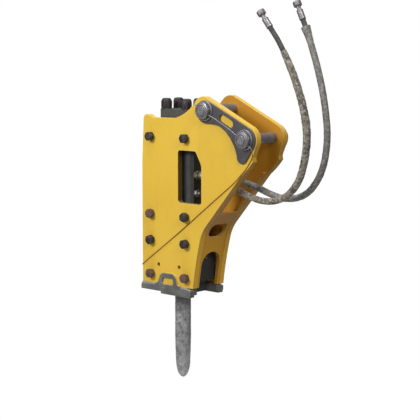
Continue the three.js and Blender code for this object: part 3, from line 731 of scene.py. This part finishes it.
def make_hose(side):
    """One hose in its sleeve, from the fitting in the window to the crimped end above."""
    line = smooth_line(HOSE_ROUTES[side])
    inner = tube_along(line, lambda along, angle, point: HOSE_DIAMETER / 2, 24)
    hose = place(inner, f"hose_{side}_rubber", "housing", HOSE_RUBBER, [], 60)
    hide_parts(f"hose_{side}")
    count = round(len(line) * SLEEVE_END[side])
    covered = line[1:count]
    sleeve = tube_along(covered, sleeve_radius(line_length(covered), side), 28)
    cloth = {"near": FINISHES["hose_sleeve"], "far": CLEANER_SLEEVE}[side]
    cover = place(sleeve, f"hose_{side}_sleeve", "housing", cloth, [], 60)
    along = (line[-1] - line[-2]).normalized()
    end = crimped_end(line[-1] + along * GAP, along, UPPER_END_LENGTH, f"upper_hose_end_{side}")
    lower_hose_end(f"hose_end_{side}")


for side in ("near", "far"):
    make_hose(side)


# ---- plates, webs and heads ----
# Each node with how far its edges are broken.
for plain, edge in (
    ("side_plate_near", 0.0022), ("side_plate_far", 0.0022), ("rear_web", 0.0016),
    ("rear_rail_near", 0.0012), ("rear_rail_far", 0.0012), ("front_web", 0.0016),
    ("pin_doubler_near", 0.0016), ("pin_doubler_far", 0.0016), ("wear_shoe_near", 0.0018),
    ("wear_shoe_far", 0.0018), ("front_head", 0.0024), ("cylinder", 0.0024), ("back_head", 0.003),
    ("piston", 0.0008), ("valve_spool", 0.0005), ("lower_bush", 0.0008), ("upper_bush", 0.0008),
    ("seal_carrier", 0.0008), ("gas_seal", 0.0012), ("dust_seal", 0.0015),
    ("tool_pin_front", 0.001), ("tool_pin_rear", 0.001), ("valve_cap", 0.0012),
):
    refined(plain, edge)


# ---- bolts, rods and nuts ----
def washer(centre, axis, radius, thick, hole=0.0):
    """A round plate or shank with its rims broken, solid unless it has a hole."""
    lip = min(0.0008, thick / 3)
    profile = [(hole, 0), (radius - lip, 0), (radius, lip)]
    profile += [(radius, thick - lip), (radius - lip, thick), (hole, thick)]
    return turn_about(ring_profile(profile) if hole else profile, centre, axis, 40)


def threaded_end(start, axis, radius, length):
    """A stub with a screw thread's ridges and a turned-down end."""
    pitch, depth, plain, chamfer = 0.0025, 0.0009, 0.003, 0.002
    profile = [(0, 0), (radius - depth, 0)]
    for turn in range(int((length - plain) / pitch)):
        profile += [(radius, (turn + 0.5) * pitch), (radius - depth, (turn + 1) * pitch)]
    profile += [(radius - depth, length - chamfer), (radius - 0.003, length), (0, length)]
    return turn_about(profile, start, axis, 32)


def side_rod(node, turn):
    """A rod through both plates: a hexagon head and washer face on the near side, a nut on the far one."""
    low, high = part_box(node)
    x, z = (low.x + high.x) / 2, (low.z + high.z) / 2
    face = PLATE_OUTSIDE + GAP
    seat, flats, chamfer = 0.0024, 0.044, 0.0036
    washer_radius, shank_radius, thread_radius, lap = 0.0215, 0.015, 0.0145, 0.001
    tall = -low.y - face - seat
    bm = hexagon(Vector((x, -face - seat, z)), NEAR, flats, tall, chamfer, turn)
    join(bm, washer(Vector((x, -face, z)), NEAR, washer_radius, seat))
    join(bm, washer(Vector((x, lap - face, z)), FAR, shank_radius, 2 * (face - lap)))
    join(bm, washer(Vector((x, face, z)), FAR, washer_radius, seat))
    join(bm, hexagon(Vector((x, face + seat, z)), FAR, flats, tall, chamfer, turn * 1.7))
    end = face + seat + tall
    join(bm, threaded_end(Vector((x, end - lap, z)), FAR, thread_radius, high.y - end + lap))
    return put(bm, node)


def through_nut(node, turn):
    """A tall nut with a domed cap, on a hardened washer."""
    low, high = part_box(node)
    centre = Vector(((low.x + high.x) / 2, (low.y + high.y) / 2, low.z))
    thick, flats, chamfer, tall = 0.004, 0.0505, 0.004, 0.040
    washer_radius, bore, cap_radius, crown_radius, shoulder = 0.0285, 0.0156, 0.0245, 0.0105, 0.048
    reach = high.z - low.z
    bm = hexagon(centre + UP * thick, UP, flats, tall, chamfer, turn)
    dome = [(0, tall), (cap_radius, tall), (cap_radius, shoulder)]
    steps = 6
    for step in range(1, steps + 1):
        angle = step / steps * math.pi / 2
        out = crown_radius + (cap_radius - crown_radius) * math.cos(angle)
        dome.append((out, shoulder + (reach - shoulder) * math.sin(angle)))
    dome.append((0, reach))
    join(bm, turn_about(dome, centre, UP, 40))
    join(bm, washer(centre, UP, washer_radius, thick, bore))
    return put(bm, node)


def through_bolt(node):
    """A long bolt down the hammer, with both its ends turned down."""
    low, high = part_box(node)
    centre = Vector(((low.x + high.x) / 2, (low.y + high.y) / 2, low.z))
    radius, long, chamfer = (high.x - low.x) / 2, high.z - low.z, 0.003
    profile = [(0, 0), (radius - chamfer, 0), (radius, chamfer)]
    profile += [(radius, long - chamfer), (radius - chamfer, long), (0, long)]
    return put(turn_about(profile, centre, UP, 32), node)


# Each head stopped at a turn of its own when it was tightened.
for column_number, column in enumerate(("front", "rear")):
    for row in range(1, 5):
        side_rod(f"side_rod_{column}_{row}", 0.24 + 0.37 * row + 0.9 * column_number)
for number in range(1, 5):
    through_nut(f"through_nut_{number}", 0.3 * number)
    through_bolt(f"through_bolt_{number}")


# ---- mounting pins and their collars ----
def mounting_pin(node):
    """The pin's ends are turned down to a boss with a ring groove and a centre drilled for the lathe."""
    low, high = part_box(node)
    centre, half = (low + high) / 2, (high.y - low.y) / 2
    radius = (high.x - low.x) / 2
    boss, groove, step = 0.0222, 0.0012, 0.0052
    end = [
        (0.0, half - 0.006), (0.0022, half - 0.002), (0.0042, half - 0.0002), (0.0130, half),
        (0.0136, half - groove), (0.0156, half - groove), (0.0162, half), (0.0205, half),
        (boss, half - 0.0018), (boss, half - step),
        (radius - 0.002, half - step), (radius, half - step - 0.002),
    ]
    profile = [(r, -along) for r, along in end] + [(r, along) for r, along in end[::-1]]
    return put(turn_about(profile, centre, FAR, 72), node)


def collar(node, sign):
    """Two discs with a groove between them, facing out along Y by its sign, with rings on the face."""
    low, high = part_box(node)
    centre = Vector(((low.x + high.x) / 2, low.y if sign > 0 else high.y, (low.z + high.z) / 2))
    base, disc, neck, bore = (high.x - low.x) / 2, 0.043, 0.034, 0.0284
    deep = high.y - low.y
    profile = [
        (bore, 0), (base - 0.0012, 0), (base, 0.0012), (base, 0.0055), (base - 0.0025, 0.008),
        (neck + 0.001, 0.008), (neck, 0.0092), (neck, 0.0188), (neck + 0.001, 0.02), (disc - 0.0015, 0.02),
        (disc, 0.0215), (disc, deep - 0.0055), (disc - 0.002, deep - 0.003), (disc - 0.0055, deep - 0.0022),
        (disc - 0.0065, deep - 0.004), (disc - 0.009, deep - 0.004), (disc - 0.010, deep - 0.0008),
        (bore + 0.002, deep), (bore, deep - 0.002),
    ]
    return put(turn_about(ring_profile(profile), centre, FAR * sign, 72), node)


for pin in ("front", "rear"):
    mounting_pin(f"{pin}_pin")
    collar(f"{pin}_collar_near", -1)
    collar(f"{pin}_collar_far", 1)


# ---- chisel ----
def chisel():
    """A moil point, forged and hammered: its sides are pitted and its nose is blunted."""
    low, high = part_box("chisel")
    radius, long = (high.x - low.x) / 2, high.z - low.z
    worn, point, taper_end, blend, slim = 0.0385, 0.095, 0.15, 0.08, 0.0015
    head, head_chamfer = 0.012, 0.008
    fine_below, fine_step, coarse_step = 0.12, 0.0022, 0.005
    rows = [0.0]
    while rows[-1] < long - head:
        rows.append(rows[-1] + (fine_step if rows[-1] < fine_below else coarse_step))

    def size(up):
        if up < point:
            return worn * math.sqrt(1 - (1 - up / point) ** 2)
        if up < taper_end:
            return worn + (radius - slim - worn) * (up - point) / (taper_end - point)
        return min(radius, radius - slim + slim * (up - taper_end) / blend)

    profile = [(size(up), up) for up in rows]
    profile += [(radius, long - head), (radius - head_chamfer, long), (0, long)]
    bm = turn_about(profile, Vector((AXIS.x, AXIS.y, low.z)), UP, 96)
    pin_low, pin_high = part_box("tool_pin_rear")
    flat = pin_low.x - AXIS.x - GAP
    notch_below = 0.048
    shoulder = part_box("front_head")[0].z
    for vert in bm.verts:
        across = Vector((vert.co.x - AXIS.x, vert.co.y - AXIS.y, 0))
        if vert.co.z < shoulder and across.length > 1e-5:
            up = vert.co.z - low.z
            pits = 0.0005 * noise.noise(vert.co * 60) + 0.00035 * noise.noise(vert.co * 170)
            hammered = max(0.0, 1 - up / 0.16) * 0.0014 * noise.noise(vert.co * 38)
            dents = -0.0009 * max(0.0, noise.noise(vert.co * 24 + Vector((7, 3, 1))) - 0.25)
            vert.co += across.normalized() * min(0.0, pits + hammered + dents - 0.0003)
        if pin_low.z - notch_below < vert.co.z < pin_high.z + GAP:
            vert.co.x = AXIS.x + max(-flat, min(flat, vert.co.x - AXIS.x))
    return put(bm, "chisel", 60)


chisel()


# ---- fittings ----
def adapter(node):
    """A screwed port adapter: a stub in the port, a hexagon, and a grooved end for the hose."""
    low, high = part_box(node)
    at = Vector((low.x, (low.y + high.y) / 2, (low.z + high.z) / 2))
    stub, stub_longest, hex_height, barrel, groove_floor = 0.0125, 0.0243, 0.0214, 0.0148, 0.0139
    seat = min(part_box("cylinder")[1].x, low.x + stub_longest) - low.x
    bm = turn_about([(0, 0), (stub - 0.001, 0), (stub, 0.001), (stub, seat), (0, seat)], at, REAR, 40)
    hexed = at + REAR * (seat + GAP)
    join(bm, hexagon(hexed, REAR, flats=0.0405, height=hex_height, chamfer=0.0022, turn=0.35))
    long = high.x - low.x
    start = seat + GAP + hex_height
    profile = [(0, start - 0.001), (0.0135, start - 0.001), (0.0135, start + 0.002), (barrel, start + 0.003)]
    for groove in range(3):
        along = start + 0.0038 + groove * 0.0024
        profile += [(barrel, along), (groove_floor, along + 0.0012), (barrel, along + 0.0024)]
    profile += [(barrel, long - 0.0012), (0.0138, long), (0, long)]
    join(bm, turn_about(profile, at, REAR, 40))
    return put(bm, node)


def small_valve(node, flats, hex_from, hex_to, stem, cap):
    """A small screwed valve: a stub, a hexagon and a cap with a groove round it."""
    low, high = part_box(node)
    at = Vector((low.x, (low.y + high.y) / 2, (low.z + high.z) / 2))
    long = high.x - low.x
    stub = [(0, 0), (stem - 0.001, 0), (stem, 0.001), (stem, hex_from), (0, hex_from)]
    bm = turn_about(stub, at, REAR, 32)
    join(bm, hexagon(at + REAR * hex_from, REAR, flats, hex_to - hex_from, chamfer=flats * 0.06, turn=0.2))
    lip = cap * 0.14
    profile = [(0, hex_to), (cap, hex_to), (cap, hex_to + lip), (cap - lip, hex_to + 2 * lip)]
    profile += [(cap - lip, long - 3 * lip), (cap, long - 2 * lip)]
    profile += [(cap, long - lip), (cap - lip, long), (0, long)]
    join(bm, turn_about(profile, at, REAR, 32))
    return put(bm, node)


for side in ("near", "far"):
    adapter(f"port_adapter_{side}")
small_valve("relief_valve", flats=0.035, hex_from=0.0223, hex_to=0.040, stem=0.0113, cap=0.0108)
small_valve("gas_valve", flats=0.0295, hex_from=0.0153, hex_to=0.029, stem=0.0104, cap=0.0078)
small_valve("grease_nipple", flats=0.0138, hex_from=0.0573, hex_to=0.065, stem=0.0045, cap=0.0039)


# ---- welds ----
def weld(name, points, radius):
    """A fillet weld: a ripple for each drop of metal, a little uneven along its run."""
    line = smooth_line(points, 0.003)
    phase, drop, ripple_height, unevenness = len(name), 0.0034, 0.10, 0.22

    def bead(along, angle, point):
        ripple = ripple_height * math.sin(along / drop + phase)
        return radius * (1 + ripple + unevenness * noise.noise(point * 48))

    made = place(tube_along(line, bead, 10), name, "housing", FINISHES["yellow_paint"], [], 75)


def rear_edge_points(y, inset=0.001):
    """Down the rear edge of a side plate, in the drawing's own zero, from its rail to its foot."""
    down = [(0.505, 0.600), (0.431, 0.515), (0.353, 0.427), (0.276, 0.339), (0.250, 0.300)]
    down += [(0.234, 0.255), (0.217, 0.190), (0.202, 0.120), (0.191, 0.050), (0.184, 0.006)]
    return [(x - inset, y, z) for x, z in down]


# Round the slotted tab that stands up each side plate from its wear shoe.
TAB_EDGE = [
    (-0.086, 0.0025), (-0.064, 0.008), (-0.056, 0.027), (-0.049, 0.050), (-0.026, 0.0628), (0.010, 0.0630),
    (0.044, 0.0628), (0.062, 0.050), (0.070, 0.027), (0.077, 0.008), (0.097, 0.0025),
]
# How far the two kinds of bead stand from the middle.
RAIL_WELD_OUT = 0.0845
TAB_WELD_OUT = PLATE_OUTSIDE + 0.0004

for side, sign in (("near", -1), ("far", 1)):
    weld(f"rail_weld_{side}", rear_edge_points(sign * RAIL_WELD_OUT), radius=0.0034)
for side, sign in (("near", -1), ("far", 1)):
    weld(f"tab_weld_{side}", [(x, sign * TAB_WELD_OUT, z) for x, z in TAB_EDGE], radius=0.0026)


# ---- wire ----
for wire in ("pin_wire", "tie_wire"):
    bm = from_cad(wire)
    bmesh.ops.subdivide_edges(bm, edges=bm.edges, cuts=1, use_grid_fill=True, smooth=0.0)
    put(bm, wire, 80)


# ---- stage ----
def make_stage():
    """A pale floor well below the hammer, which lights it from underneath."""
    low, _ = CAD_BOX
    drop, reach = 1.3, 2.6
    bm = bmesh.new()
    bmesh.ops.create_circle(bm, cap_ends=True, segments=96, radius=reach)
    bmesh.ops.translate(bm, vec=(0, 0, low.z - drop), verts=bm.verts)
    mesh = bpy.data.meshes.new("floor")
    bm.to_mesh(mesh)
    bm.free()
    floor = bpy.data.objects.new("floor", mesh)
    f = Finish("floor", 0.9)
    dull, clean = (0.86, 0.86, 0.86), (0.9, 0.9, 0.9)
    f.colour(f.mix(f.noise(0.8), dull, clean))
    mesh.materials.append(f.material)
    bpy.context.scene.collection.objects.link(floor)


def area_light(name, place_at, aim, size, power, tint=(1, 1, 1)):
    """A round soft light, its size in metres and its power in watts."""
    data = bpy.data.lights.new(name, "AREA")
    data.shape, data.size, data.energy, data.color = "DISK", size, power, tint
    light = bpy.data.objects.new(name, data)
    light.location = place_at
    light.rotation_mode = "QUATERNION"
    light.rotation_quaternion = (Vector(aim) - Vector(place_at)).to_track_quat("-Z", "Y")
    bpy.context.scene.collection.objects.link(light)


def make_world():
    """A white room: it shows as pure white behind the hammer, and lights it more softly than that."""
    world = bpy.data.worlds.new("studio")
    world.use_nodes = True
    tree = world.node_tree
    soft = tree.nodes["Background"]
    white = tree.nodes.new("ShaderNodeBackground")
    for background, strength in ((soft, 0.16), (white, 1.0)):
        background.inputs["Color"].default_value = (1.0, 1.0, 1.0, 1.0)
        background.inputs["Strength"].default_value = strength
    both = tree.nodes.new("ShaderNodeMixShader")
    path = tree.nodes.new("ShaderNodeLightPath")
    tree.links.new(path.outputs["Is Camera Ray"], both.inputs[0])
    tree.links.new(soft.outputs[0], both.inputs[1])
    tree.links.new(white.outputs[0], both.inputs[2])
    tree.links.new(both.outputs[0], tree.nodes["World Output"].inputs["Surface"])
    bpy.context.scene.world = world


def make_light():
    """A strong light on the near plate, one above, and a warmer one from the rear."""
    make_world()
    bpy.context.scene.view_settings.view_transform = "Standard"
    heart = (0.0, 0.0, -0.45)
    area_light("key", (-1.3, -5.3, 2.5), heart, size=2.6, power=278, tint=(1.0, 0.985, 0.97))
    area_light("top", (0.3, -0.3, 4.2), heart, size=2.4, power=175)
    area_light("side", (4.2, -1.6, 2.2), heart, size=2.0, power=92, tint=(1.0, 0.95, 0.88))


make_stage()
make_light()

# The CAD nodes, which their finished pieces stand for, carry the same finishes.
for node in sorted(NODES):
    NODES[node].data.materials.clear()
    NODES[node].data.materials.append(FINISHES[SLOT_OF[node]])
